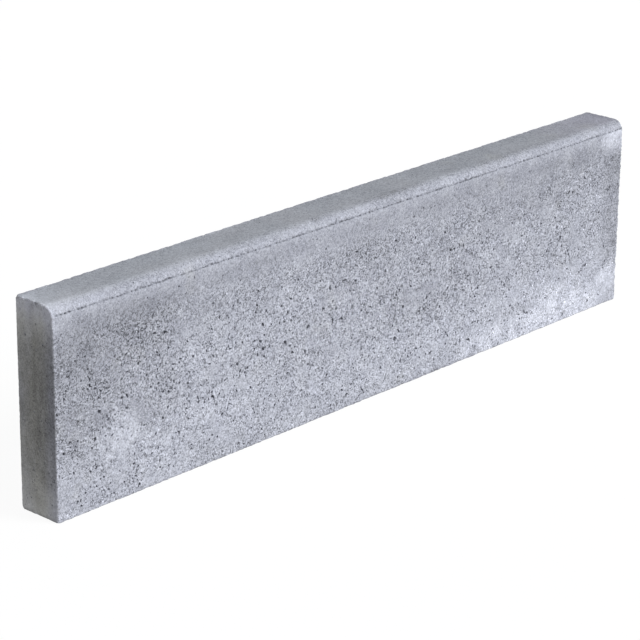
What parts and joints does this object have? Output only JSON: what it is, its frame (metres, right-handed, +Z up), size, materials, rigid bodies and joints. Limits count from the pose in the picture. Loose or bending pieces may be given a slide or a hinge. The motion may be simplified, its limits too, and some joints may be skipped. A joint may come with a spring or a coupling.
{
  "type": "kerb stone",
  "caption": "Straight grey concrete kerb stone standing on its narrow base, with a rounded upper front edge above a fine press line.",
  "frame": {"origin": "middle of the underside, on the ground plane the stone stands on", "axes": "+X along the length, +Y through the thickness from the rounded front face to the back face, +Z up"},
  "size_m": [1, 0.06, 0.25],
  "materials": {
    "concrete": "dry pressed grey concrete, matt, with fine pores"
  },
  "bodies": {
    "root": {"kerb_stone": "concrete"}
  },
  "joints": []
}
